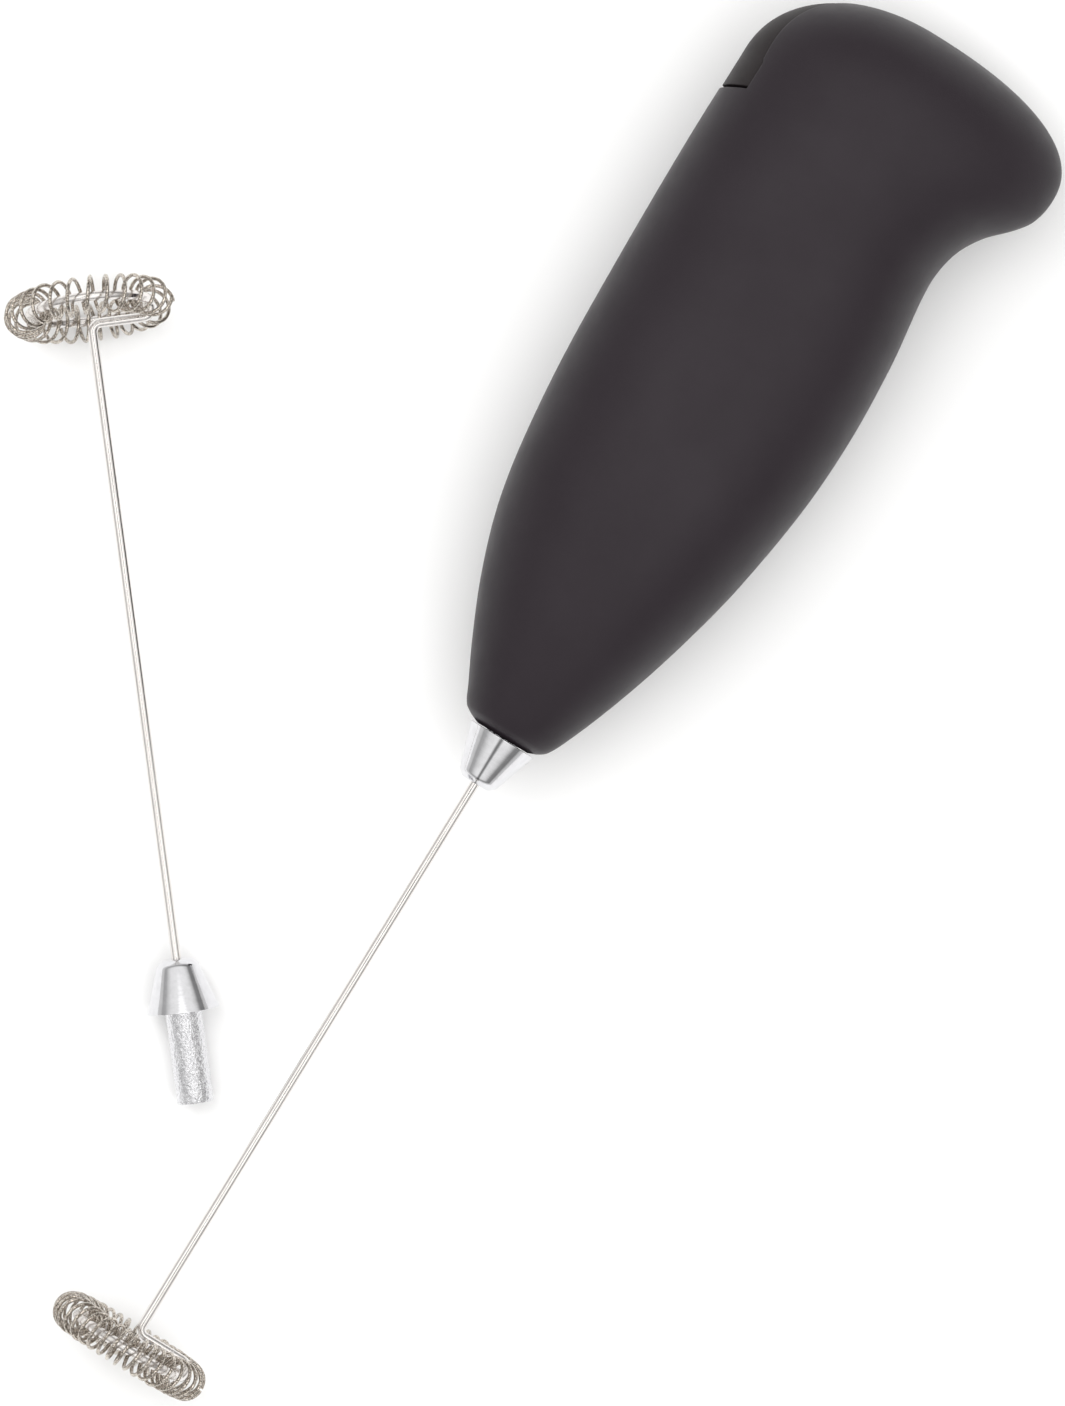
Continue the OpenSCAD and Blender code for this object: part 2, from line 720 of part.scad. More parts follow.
module motor_can() {
    lay_down() color(steel_colour) difference() {
        union() {
            translate([0, 0, can_low]) linear_extrude(height = can_len) can_outline(0);
            translate([0, 0, can_low - 0.8]) cylinder(h = 1, r = bush_r + 1);
        }
        translate([0, 0, can_low + can_wall]) linear_extrude(height = can_len)
            can_outline(-can_wall);
        translate([0, 0, can_low - 2]) cylinder(h = 4, r = bush_r);
    }
}

module motor_magnets() {
    lay_down() color([0.25, 0.25, 0.27])
        translate([0, 0, can_low + 2.5]) linear_extrude(height = 10.5) difference() {
            intersection() {
                circle(r = can_r - can_wall);
                square([3 * can_r, 9], center = true);
            }
            circle(r = armature_r + 0.4);
        }
}

module motor_end_cap() {
    lay_down() color([0.92, 0.9, 0.82]) difference() {
        union() {
            translate([0, 0, can_high]) linear_extrude(height = cap_high - can_high)
                can_outline(0);
            translate([0, 0, can_high - 1]) linear_extrude(height = 1.2) difference() {
                can_outline(-can_wall);
                circle(r = 5.6);
            }
        }
        translate([0, 0, can_high - 2]) cylinder(h = 3.4, r = 4.4);
        translate([0, 0, can_high - 2]) cylinder(h = 8, r = bush_r);
        for (sign = [-1, 1])
            block(terminal_at(sign), [-4, -1], [can_high - 2, cap_high + 1]);
    }
}

// Thickness of a terminal, on one side of the cap
function terminal_at(sign) =
    [sign * terminal_x - terminal_t / 2, sign * terminal_x + terminal_t / 2];

// Brush blades that bear on the commutator from both sides
module motor_brushes() {
    lay_down() color(brass_colour)
        for (y = [brush_y, [-brush_y[1], -brush_y[0]]])
            block([-0.8, 0.8], y, [can_high - 0.6, can_high + 0.8]);
}

module motor_terminals() {
    lay_down() color(brass_colour)
        for (sign = [-1, 1])
            block(terminal_at(sign), [-4, -1], [can_high + 0.4, cap_high + 1.7]);
}

module bush(low, high) {
    translate([0, 0, low]) difference() {
        cylinder(h = high - low, r = bush_r);
        translate([0, 0, -1]) cylinder(h = high - low + 2, r = shaft_r + run_gap);
    }
}

module front_bush() {
    lay_down() color(brass_colour) bush(can_low - 0.8, can_low + 2);
}

module rear_bush() {
    lay_down() color(brass_colour) bush(can_high + 1.4, cap_high);
}

// ---------------------------------------------------------------- drive

module motor_shaft() {
    lay_down() color(steel_colour) translate([0, 0, socket_depth + 0.4])
        cylinder(h = cap_high + 0.3 - socket_depth - 0.4, r = shaft_r);
}

// Three wound poles on the shaft
module motor_armature() {
    lay_down() color([0.65, 0.35, 0.2]) translate([0, 0, armature_low]) difference() {
        cylinder(h = armature_len, r = armature_r);
        for (a = [60, 180, 300])
            rotate([0, 0, a])
                block([armature_r / 2, armature_r + 1], [-0.7, 0.7], [-1, armature_len + 1]);
        translate([0, 0, -1]) cylinder(h = armature_len + 2, r = shaft_r);
    }
}

module motor_commutator() {
    lay_down() color(brass_colour) translate([0, 0, can_low + 13]) difference() {
        cylinder(h = can_len - 12, r = 1.9);
        translate([0, 0, -1]) cylinder(h = can_len, r = shaft_r);
    }
}

module drive_socket() {
    lay_down() color(brass_colour) difference() {
        translate([0, 0, 0.4]) cylinder(h = socket_end - 0.4, r = socket_r);
        cylinder(h = socket_depth, r = plug_r + run_gap);
        translate([0, 0, socket_depth - 1]) cylinder(h = socket_end, r = shaft_r);
    }
}

// ---------------------------------------------------------------- whisk

// The whisk's pieces are drawn with the cone's base at z = 0 and the plug above it
module plug() {
    difference() {
        rotate_extrude() polygon([[0, 0], [plug_r, 0], [plug_r, plug_len - 0.4],
            [plug_r - 0.4, plug_len], [0, plug_len]]);
        translate([0, 0, -1]) cylinder(h = 9, r = stem_r);
    }
}

module cone() {
    tip_r = 3.05;
    round_r = 1.1;
    low = -cone_len + round_r;
    difference() {
        rotate_extrude() polygon(concat(
            [[0, 0], [cone_r - 0.15, 0], [cone_r, -0.15]],
            [for (a = [0:15:90]) [tip_r - round_r + round_r * cos(a), low - round_r * sin(a)]],
            [[0, -cone_len]]));
        translate([0, 0, -cone_len - 1]) cylinder(h = cone_len + 2, r = stem_r);
    }
}

// Bend of the stem wire from -Z towards +X, about the bend's centre at [r, 0, 0]
module wire_bend(r, angle) {
    translate([r, 0, 0]) rotate([90, 0, 0]) rotate([0, 0, 180])
        rotate_extrude(angle = angle) translate([r, 0]) circle(r = stem_r);
}

// Leans the ring over about its arm
module leaning(lean) {
    translate([0, 0, arm_z]) rotate([lean, 0, 0]) translate([0, 0, -arm_z]) children();
}

// Stem, bend, arm, drop into the coil's middle and the core ring that the coil is wound on
module wire(lean) {
    bead_r = stem_r + 0.03;
    translate([0, 0, arm_z + bend_r]) {
        cylinder(h = 8 - arm_z - bend_r, r = stem_r);
        wire_bend(bend_r, 90);
    }
    leaning(lean) {
        translate([bend_r, 0, arm_z]) sphere(r = bead_r);
        translate([bend_r, 0, arm_z]) rotate([0, 90, 0])
            cylinder(h = drop_x - drop_r - bend_r, r = stem_r);
        translate([drop_x - drop_r, 0, arm_z]) sphere(r = bead_r);
        translate([drop_x, 0, arm_z - drop_r]) rotate([0, 0, 180]) mirror([0, 0, 1])
            wire_bend(drop_r, 90);
        translate([drop_x, 0, arm_z - drop_r]) rotate([0, 0, 90]) wire_bend(turn_r, 90);
        translate([drop_x, turn_r, -ring_drop]) sphere(r = bead_r);
        translate([0, 0, -ring_drop]) rotate([0, 0, asin(turn_r / core_r)])
            rotate_extrude(angle = core_angle) translate([core_r, 0]) circle(r = stem_r);
    }
}

module coil(lean, turns) {
    leaning(lean) translate([0, 0, -ring_drop]) ring_coil(turns, coil_gap, 360 - coil_gap);
}

module whisk_plug() {
    fitted() color(chrome_colour) plug();
}

module whisk_cone() {
    fitted() color(chrome_colour) cone();
}

module whisk_wire() {
    fitted() color(steel_colour) wire(0);
}

module whisk_coil() {
    fitted() color(steel_colour) coil(0, coil_turns);
}

module spare_plug() {
    lay_spare() color(chrome_colour) plug();
}

module spare_cone() {
    lay_spare() color(chrome_colour) cone();
}

module spare_wire() {
    lay_spare() color(steel_colour) wire(-spare_lean);
}

module spare_coil() {
    lay_spare() color(steel_colour) coil(-spare_lean, spare_turns);
}

housing_base();
housing_cover();
chassis();
chassis_screws();
motor_strap();
strap_screws();
battery_a();
battery_b();
negative_spring();
positive_plate();
bridge_contact();
red_lead();
black_lead();
switch_lead();
switch_button();
button_pin();
switch_leaf();
switch_contact();
motor_can();
motor_magnets();
motor_end_cap();
motor_brushes();
motor_terminals();
front_bush();
rear_bush();
motor_shaft();
motor_armature();
motor_commutator();
drive_socket();
whisk_plug();
whisk_cone();
whisk_wire();
whisk_coil();
spare_plug();
spare_cone();
spare_wire();
spare_coil();
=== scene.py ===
"""Looks of a battery milk frother lying on its side, with its spare whisk beside it.

Everything is in metres in the row frame: +Y runs along the spindle from the whisk to the crown
of the handle, +X points to the beak and +Z up from the table. Shapes are worked out in
millimetres in two local frames: the handle's (x to the beak, y to the base shell, z up the
handle from its nose) and the whisk's (x along the arm, z up the stem, 0 at the cone's base).
"""
import json
import math

import bmesh
import bpy
import numpy as np
from mathutils import Matrix, Vector


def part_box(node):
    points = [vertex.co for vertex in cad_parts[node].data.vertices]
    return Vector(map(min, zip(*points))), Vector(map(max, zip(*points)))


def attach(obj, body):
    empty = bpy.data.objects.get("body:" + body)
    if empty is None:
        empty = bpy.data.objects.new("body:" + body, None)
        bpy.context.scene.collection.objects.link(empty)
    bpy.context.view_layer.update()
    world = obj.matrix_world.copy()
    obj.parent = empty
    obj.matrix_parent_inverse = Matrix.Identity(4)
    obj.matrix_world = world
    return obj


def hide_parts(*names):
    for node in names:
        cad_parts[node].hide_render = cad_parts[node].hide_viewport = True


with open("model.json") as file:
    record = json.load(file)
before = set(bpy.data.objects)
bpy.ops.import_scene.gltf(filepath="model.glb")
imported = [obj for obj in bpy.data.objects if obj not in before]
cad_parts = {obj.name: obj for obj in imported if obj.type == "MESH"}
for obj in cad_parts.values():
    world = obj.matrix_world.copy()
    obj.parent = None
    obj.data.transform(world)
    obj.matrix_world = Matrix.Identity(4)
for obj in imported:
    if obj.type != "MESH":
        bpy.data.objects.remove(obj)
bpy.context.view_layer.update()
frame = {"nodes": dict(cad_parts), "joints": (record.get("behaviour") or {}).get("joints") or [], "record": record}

MM = 0.001
JOINTS = {j["name"]: j for j in frame["joints"]}
MOUNTS = {m["name"]: m for m in frame["record"]["mounts"]}
SPINDLE = Vector(JOINTS["whisk_spin"]["pos_m"])
NOSE_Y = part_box("housing_base")[0][1]
CROWN_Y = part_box("housing_base")[1][1]

# ------------------------------------------------------------------ sizes, in millimetres
# Handle, whose two shells are split in the plane of the spindle
CROWN_FLAT = 0.01  # what the facets of the CAD's crown cut off its top
HANDLE_LEN = (CROWN_Y - NOSE_Y) / MM + CROWN_FLAT
SIDE_REACH = SPINDLE.z / MM
WALL = 1.8
NOSE_HOLE_R = 3.8
CROWN_START = 103.0
SPLIT_ROUND = 0.1
EDGE_STEPS = 4
COVER_GAP = 0.03

# Powers of the handle's section: 2 is an ellipse, more is squarer, less is more pointed
SQUARER, SQUARE_FROM = 0.25, 40.0
BEAK_POINT, BEAK_START, BEAK_RISE = 0.45, 84.0, 18.0

# Screw bosses (x, height) and hooks (heights) inside the shells
BOSS_PLACES = ((0, 58), (0, 86), (9, 104.5))
BOSS_R, BOSS_BORE_R, BOSS_FLOOR = 2.1, 0.85, 9.0
HOOKS_BACK, HOOKS_FRONT = (50, 70), (50, 66)
HOOK_LEN = 7.0

# Thumb strip and its opening; STRIP_W is half of its width
STRIP_W = 9.4
STRIP_LOW, STRIP_LOW_RISE = 95.3, 1.4
STRIP_TIP, STRIP_TIP_PLAY, STRIP_TIP_POWER = 115.2, 0.12, 1.7
STRIP_SHOULDER, STRIP_SHOULDER_STEP = 101.0, 0.3
STRIP_GAP, STRIP_LOW_GAP = 0.3, 0.6
STRIP_RECESS, STRIP_SIDE_RECESS = 0.12, 0.3
OPENING_ROUND = 0.17
PIN_X, PIN_Z = -14.2, 107.5
HUB_R, HUB_BORE_R, HUB_HALF = 2.0, 1.04, 3.1
WEB_BACK, WEB_HALF = -19.0, 1.2
NUB_LOW, NUB_HIGH = (-20.8, -1.2, 97.7), (-17.9, 1.2, 99.3)

# Whisk, measured from the base of its cone
PLUG_R, PLUG_LEN = 2.65, 13.4
PLUG_MOUNT_UP = 6.5
DISH_R, DISH_TAPER, DISH_DEEP = 1.6, 0.2, 0.5
CONE_R, CONE_LEN = 5.25, 7.45
CONE_TIP_R, CONE_END_R, CONE_ROUND_UP = 3.02, 2.1, 0.8
STEM_R = 0.7
RING_DROP = 101.2
RING_R, CORE_R = 9.5, 8.6
COIL_R, COIL_WIRE_R = 2.95, 0.27
BEND_R = 1.3
ARM_RISE = 2.2
ARM_Z = ARM_RISE - RING_DROP
DROP_R = 1.1
TURN_R = ARM_RISE - DROP_R
DROP_X = math.sqrt(CORE_R ** 2 - TURN_R ** 2)
CORE_ANGLE = 334.0
COIL_GAP = 10.0
FITTED_TURNS, SPARE_TURNS = 40, 28
SPARE_LEAN = -14.0

# Unevenness of a coil: (radians, waves round the ring, phase), and slack of its windings
WOBBLES = ((0.016, 3, 0.2), (0.008, 11, 0.4))
COIL_SLACK, SLACK_MEAN, SLACK_WAVES = 0.05, 2.5, 17

# Camera: the picture's turn in degrees, its height, and its middle in the handle's frame
PICTURE_TURN = 31.54
PICTURE_TALL = 199.7
PICTURE_X, PICTURE_Z = 1.0, 6.45

# Outlines of the handle, [height, distance from the spindle]
BACK_LINE = [[0, 4.2], [0.6, 5.6], [1.5, 6.9], [4, 8.2], [10, 11.2], [18, 14.7],
             [27, 17.7], [36, 19.5], [50, 21], [66, 21.7], [86, 22.1], [101.5, 22]]
FRONT_LINE = [[0, 4.1], [0.6, 5.5], [1.5, 6.6], [4, 7.9], [10, 10.3], [18, 13],
              [27, 15.5], [36, 17.5], [50, 19.5], [62, 20], [74, 19.4], [86.5, 18],
              [92, 18.8], [96, 21], [99.5, 24.3], [102, 26], [105.8, 26.7]]
SIDE_LINE = [[0, 4.1], [0.6, 5.5], [1.5, 6.7], [4, 8], [10, 10.3], [18, 12.9],
             [27, 14.9], [36, 16.1], [46, SIDE_REACH], [60, SIDE_REACH],
             [86, SIDE_REACH], [102, SIDE_REACH - 0.2]]
BACK_CROWN, FRONT_CROWN, SIDE_CROWN = 2.1, 2.4, 2.3


# ------------------------------------------------------------------ outlines of the handle
def slope(line, i):
    """Slope of a line at its point i, level at its last point."""
    if i == len(line) - 1:
        return 0.0
    a, b = max(i - 1, 0), i + 1
    return (line[b][1] - line[a][1]) / (line[b][0] - line[a][0])


def along(line, z):
    """Height on the smooth curve through a line's points."""
    i = 0
    while i < len(line) - 2 and z > line[i + 1][0]:
        i += 1
    w = line[i + 1][0] - line[i][0]
    t = (z - line[i][0]) / w
    p, q = line[i][1], line[i + 1][1]
    a, b = slope(line, i) * w, slope(line, i + 1) * w
    return p + t * (a + t * (3 * (q - p) - 2 * a - b + t * (2 * (p - q) + a + b)))


def reach(line, crown, z, inset):
    """Distance from the spindle at a height, inset from the outer surface."""
    top_z, top_r = line[-1]
    if z <= top_z:
        return along(line, z) - inset
    h = HANDLE_LEN - top_z - inset
    return (top_r - inset) * max(0.0, 1 - ((z - top_z) / h) ** crown) ** (1 / crown)


def ease(t):
    """Smooth step from 0 to 1."""
    u = min(max(t, 0.0), 1.0)
    return u * u * (3 - 2 * u)


def back(z, inset):
    """Reach of the handle to its back."""
    return reach(BACK_LINE, BACK_CROWN, z, inset)


def front(z, inset):
    """Reach of the handle to the beak."""
    return reach(FRONT_LINE, FRONT_CROWN, z, inset)


def side(z, inset):
    """Reach of the handle to either side, at most down to the table's plane."""
    return min(reach(SIDE_LINE, SIDE_CROWN, z, inset), SIDE_REACH - inset)


def back_square(z):
    """Power of the section's back half."""
    return 2 + SQUARER * ease(z / SQUARE_FROM)


def front_square(z):
    """Power of the section's beak half."""
    return back_square(z) - BEAK_POINT * ease((z - BEAK_START) / BEAK_RISE)


def arc_points(z, inset, y_beak, y_back, steps):
    """Points of a ring from the beak side to the back, between two distances from the split."""
    s = max(side(z, inset), 1e-4)
    nf, nb = front_square(z), back_square(z)
    start = math.asin(min((y_beak / s) ** (nf / 2), 0.999))
    end = math.pi - math.asin(min((y_back / s) ** (nb / 2), 0.999))
    a = np.linspace(start, end, steps + 1)
    c, n = np.cos(a), np.where(np.cos(a) < 0, nb, nf)
    r = np.where(c < 0, -back(z, inset), front(z, inset))
    x = r * np.abs(c) ** (2 / n)
    y = s * np.clip(np.sin(a), 0, 1) ** (2 / n)
    return np.column_stack([x, y, np.full_like(x, z)])


def skin_point(z, y, inset, at_back):
    """The point of the surface at a height and a distance from the split."""
    n = back_square(z) if at_back else front_square(z)
    t = min(abs(y) / max(side(z, inset), 1e-4), 1.0)
    r = -back(z, inset) if at_back else front(z, inset)
    return (r * (1 - t ** n) ** (1 / n), y, z)


def lowered(z, inset):
    """A height of the outer surface, brought down with the crown for an inset surface."""
    rise = HANDLE_LEN - CROWN_START
    return z if z < CROWN_START else CROWN_START + (z - CROWN_START) * (rise - inset) / rise


def strip_half(z, grow=0.0):
    """Half width of the thumb strip, or of its opening, at a height."""
    if z <= STRIP_SHOULDER:
        return STRIP_W + grow
    t = (z - STRIP_SHOULDER) / (STRIP_TIP + grow - STRIP_SHOULDER)
    share = max(0.0, 1 - t ** STRIP_TIP_POWER) ** (1 / STRIP_TIP_POWER)
    return (STRIP_W - STRIP_SHOULDER_STEP + grow) * share


def strip_edge(y):
    """Height of the strip's lower edge, which curves up to its sides."""
    return STRIP_LOW + STRIP_LOW_RISE * (y / STRIP_W) ** 2


def opening_half(z):
    """Half width of the strip's opening at a height: 0 where the shell is whole."""
    wide = STRIP_W + STRIP_GAP
    low = strip_edge(0) - STRIP_LOW_GAP
    high = strip_edge(wide) - STRIP_LOW_GAP
    if z <= low or z >= STRIP_TIP + STRIP_GAP:
        return 0.0
    if z < high:
        return wide * math.sqrt((z - low) / (high - low))
    return strip_half(z, STRIP_GAP)


# ------------------------------------------------------------------ mesh helpers
def new_mesh(name, verts, faces):
    """A smooth-shaded mesh object, linked to the scene."""
    mesh = bpy.data.meshes.new(name)
    mesh.from_pydata([tuple(v) for v in verts], [], faces)
    mesh.validate()
    mesh.update()
    for p in mesh.polygons:
        p.use_smooth = True
    obj = bpy.data.objects.new(name, mesh)
    bpy.context.scene.collection.objects.link(obj)
    return obj


def face_outward(obj):
    """Turns every face of a closed mesh outward."""
    bm = bmesh.new()
    bm.from_mesh(obj.data)
    bmesh.ops.recalc_face_normals(bm, faces=bm.faces)
    bm.to_mesh(obj.data)
    bm.free()
    return obj


def sharpen(obj, degrees):
    """Smooth shading that breaks at edges sharper than an angle."""
    obj.data.set_sharp_from_angle(angle=math.radians(degrees))
    return obj


def to_row(points):
    """Handle's local millimetres to row metres."""
    p = np.asarray(points, float)
    return np.column_stack([SPINDLE.x + p[:, 0] * MM, NOSE_Y + p[:, 2] * MM,
                            SPINDLE.z - p[:, 1] * MM])


def loops_solid(loops, caps=True):
    """Vertices and faces of a closed skin through loops of equal count."""
    n = len(loops[0])
    verts = np.concatenate(loops)
    faces = [[i * n + k, i * n + (k + 1) % n, (i + 1) * n + (k + 1) % n, (i + 1) * n + k]
             for i in range(len(loops) - 1) for k in range(n)]
    if caps:
        faces.append([n - 1 - k for k in range(n)])
        faces.append([(len(loops) - 1) * n + k for k in range(n)])
    return verts, faces


def sweep(points, radius, sides):
    """Tube along points, with flat ends."""
    p = np.asarray(points, float)
    t = np.gradient(p, axis=0)
    t /= np.linalg.norm(t, axis=1)[:, None]
    askew = [0.31, 0.17, 0.93]
    u = np.cross(t[0], askew)
    u /= np.linalg.norm(u)
    loops = []
    angles = np.linspace(0, 2 * math.pi, sides, endpoint=False)
    for i in range(len(p)):
        u = u - t[i] * np.dot(u, t[i])
        u /= np.linalg.norm(u)
        v = np.cross(t[i], u)
        loops.append(p[i] + radius * (np.cos(angles)[:, None] * u + np.sin(angles)[:, None] * v))
    return loops_solid(loops)


def revolve(profile, steps=96):
    """Solid of revolution about z from [radius, height] points that start and end on a bore."""
    a = np.linspace(0, 2 * math.pi, steps, endpoint=False)
    n = len(profile)
    verts = [(r * math.cos(t), r * math.sin(t), z) for t in a for r, z in profile]
    faces = [[i * n + k, i * n + (k + 1) % n, ((i + 1) % steps) * n + (k + 1) % n,
              ((i + 1) % steps) * n + k] for i in range(steps) for k in range(n)]
    return verts, faces


def rounded(profile, radius, steps=5):
    """A profile with its corners rounded. Each point is (r, z) or (r, z, own radius)."""
    most, straight = 0.45, math.radians(89)
    out = []
    n = len(profile)
    for i, point in enumerate(profile):
        own = point[2] if len(point) > 2 else radius
        b = np.array(point[:2], float)
        if own <= 0:
            out.append(tuple(b))
            continue
        a, c = np.array(profile[i - 1][:2], float), np.array(profile[(i + 1) % n][:2], float)
        ua, uc = (a - b) / np.linalg.norm(a - b), (c - b) / np.linalg.norm(c - b)
        half = math.acos(max(-1.0, min(1.0, float(np.dot(ua, uc))))) / 2
        if half > straight:
            out.append(tuple(b))
            continue
        cut = min(own / math.tan(half), most * np.linalg.norm(a - b),
                  most * np.linalg.norm(c - b))
        p, q = b + ua * cut, b + uc * cut
        for s in np.linspace(0, 1, steps + 1):
            out.append(tuple((1 - s) ** 2 * p + 2 * s * (1 - s) * b + s * s * q))
    return out


def box_parts(low, high, bevel=0.15):
    """Vertices and faces of a box with rounded edges, in the local frame."""
    bm = bmesh.new()
    bmesh.ops.create_cube(bm, size=1.0)
    size = [h - l for l, h in zip(low, high)]
    middle = [(h + l) / 2 for l, h in zip(low, high)]
    bmesh.ops.scale(bm, vec=size, verts=bm.verts)
    bmesh.ops.translate(bm, vec=middle, verts=bm.verts)
    bmesh.ops.bevel(bm, geom=bm.edges[:], offset=bevel, segments=2, affect="EDGES")
    verts = [tuple(v.co) for v in bm.verts]
    faces = [[v.index for v in f.verts] for f in bm.faces]
    bm.free()
    return verts, faces


def along_y(parts, x, z, y):
    """Turns parts made about z to lie along the handle's y, with their 0 at a place."""
    verts, faces = parts
    return [(x + vx, y + vz, z - vy) for vx, vy, vz in verts], faces


def joined(pieces_list):
    """One list of vertices and faces from several."""
    verts, faces = [], []
    for v, f in pieces_list:
        base = len(verts)
        verts.extend([tuple(p) for p in v])
        faces.extend([[i + base for i in face] for face in f])
    return verts, faces


# ------------------------------------------------------------------ materials
def ramp_node(tree, source, stops):
    """Colour ramp through (position, (red, green, blue)) stops."""
    ramp = tree.nodes.new("ShaderNodeValToRGB")
    elements = ramp.color_ramp.elements
    while len(elements) < len(stops):
        elements.new(0.5)
    for element, (at, colour) in zip(elements, stops):
        element.position = at
        element.color = (*colour, 1)
    tree.links.new(source, ramp.inputs["Fac"])
    return ramp.outputs["Color"]


def map_range(tree, source, start, end, low, high):
    """A value between start and end, brought to between low and high."""
    node = tree.nodes.new("ShaderNodeMapRange")
    for key, value in (("From Min", start), ("From Max", end), ("To Min", low), ("To Max", high)):
        node.inputs[key].default_value = value
    tree.links.new(source, node.inputs["Value"])
    return node.outputs["Result"]


class Paint:
    """A node material with a Principled shader, and short ways to add nodes to it."""

    def __init__(self, name, own_axes=False, **shader):
        self.material = bpy.data.materials.new(name)
        self.material.use_nodes = True
        self.tree = self.material.node_tree
        self.shader = self.tree.nodes["Principled BSDF"]
        self.place = self.tree.nodes.new("ShaderNodeTexCoord").outputs["Object"]
        if own_axes:
            node = self.tree.nodes.new("ShaderNodeAttribute")
            node.attribute_name = "own_axes"
            self.place = node.outputs["Vector"]
        for key, value in shader.items():
            self.shader.inputs[key.replace("_", " ")].default_value = value

    def link(self, a, b):
        self.tree.links.new(a, b)

    def stretched(self, scale):
        """Object coordinates scaled along each axis."""
        node = self.tree.nodes.new("ShaderNodeMapping")
        node.inputs["Scale"].default_value = scale
        self.link(self.place, node.inputs["Vector"])
        return node.outputs["Vector"]

    def noise(self, scale, detail, rough=0.55, vector=None):
        """Noise of a scale, in cells per metre."""
        node = self.tree.nodes.new("ShaderNodeTexNoise")
        node.inputs["Scale"].default_value = scale
        node.inputs["Detail"].default_value = detail
        node.inputs["Roughness"].default_value = rough
        self.link(vector or self.place, node.inputs["Vector"])
        return node.outputs["Fac"]

    def ramp(self, fac, stops):
        return ramp_node(self.tree, fac, stops)

    def spread(self, fac, low, high, start=0.3, end=0.7):
        """Spreads the middle of a noise, or another stretch of a value, over a range."""
        return map_range(self.tree, fac, start, end, low, high)

    def colour(self, socket):
        self.link(socket, self.shader.inputs["Base Color"])
        return self

    def roughness(self, socket):
        self.link(socket, self.shader.inputs["Roughness"])
        return self

    def bump(self, *layers):
        """Bumps laid one on another, each (height socket, depth in metres)."""
        normal = None
        for height, depth in layers:
            node = self.tree.nodes.new("ShaderNodeBump")
            node.inputs["Strength"].default_value = 1.0
            node.inputs["Distance"].default_value = depth
            self.link(height, node.inputs["Height"])
            if normal:
                self.link(normal, node.inputs["Normal"])
            normal = node.outputs["Normal"]
        self.link(normal, self.shader.inputs["Normal"])
        return self


def soft_touch(name, dark, light, rough, shine):
    """Rubbery paint over plastic: a broad sheen, a very fine grain and faint handling marks."""
    p = Paint(name, Specular_IOR_Level=shine)
    p.colour(p.ramp(p.noise(60, 4), [(0.3, dark), (0.7, light)]))
    p.roughness(p.spread(p.noise(220, 5), rough - 0.03, rough + 0.05))
    p.bump((p.noise(5200, 2), 0.000012), (p.noise(700, 3), 0.00001))
    return p.material


def polished(name, colour, rough, line_scale):
    """Bright metal with the faint turning marks of a lathe, which run round its own z."""
    p = Paint(name, own_axes=True, Metallic=1.0)
    tint = tuple(c * 0.9 for c in colour)
    p.colour(p.ramp(p.noise(900, 3), [(0.3, tint), (0.7, colour)]))
    p.roughness(p.spread(p.noise(1500, 4), rough * 0.7, rough * 1.5))
    round_z = (0.02, 0.02, 1.0)
    marks = p.noise(line_scale, 2, vector=p.stretched(round_z))
    p.bump((marks, 0.000004), (p.noise(420, 2), 0.00001))
    return p.material


def drawn_wire(name, dark, light, rough, grain=(1.0, 1.0, 0.03), blend=0.2):
    """Drawn stainless wire: colour and roughness streaked along the draw, or in even patches where the grain is
    even. A very dark colour stop paints shade into those patches.
    """
    p = Paint(name, own_axes=True, Metallic=1.0)
    streak = p.noise(5200, 3, vector=p.stretched(grain))
    p.colour(p.ramp(streak, [(0.5 - blend, dark), (0.5 + blend, light)]))
    p.roughness(p.spread(p.noise(2600, 3, vector=p.stretched(grain)), rough - 0.06, rough + 0.1))
    p.bump((streak, 0.000003))
    return p.material


def pitted_steel(name):
    """Bright plated sleeve with shallow pits that break up what it reflects."""
    p = Paint(name, own_axes=True, Metallic=1.0)
    pits = p.noise(2400, 2, rough=0.6)
    p.colour(p.ramp(pits, [(0.3, (0.62, 0.62, 0.64)), (0.55, (0.77, 0.77, 0.79))]))
    p.roughness(p.spread(pits, 0.16, 0.06, start=0.35, end=0.6))
    p.bump((pits, 0.00018))
    return p.material


def plain_metal(name, dark, light, rough, scale=700.0):
    """Plated or stamped sheet: fine cross grain and slightly uneven colour."""
    p = Paint(name, Metallic=1.0)
    p.colour(p.ramp(p.noise(scale, 4), [(0.3, dark), (0.7, light)]))
    along_rolling = (1, 0.08, 1)
    p.roughness(p.spread(p.noise(scale * 3, 3, vector=p.stretched(along_rolling)),
                         rough - 0.08, rough + 0.1))
    p.bump((p.noise(scale * 6, 2), 0.000006))
    return p.material


def moulded(name, dark, light, rough, grain=2600.0):
    """Moulded plastic with a light spark-erosion grain."""
    p = Paint(name, Specular_IOR_Level=0.45)
    p.colour(p.ramp(p.noise(90, 3), [(0.3, dark), (0.7, light)]))
    p.roughness(p.spread(p.noise(400, 4), rough - 0.05, rough + 0.08))
    p.bump((p.noise(grain, 2), 0.00001))
    return p.material


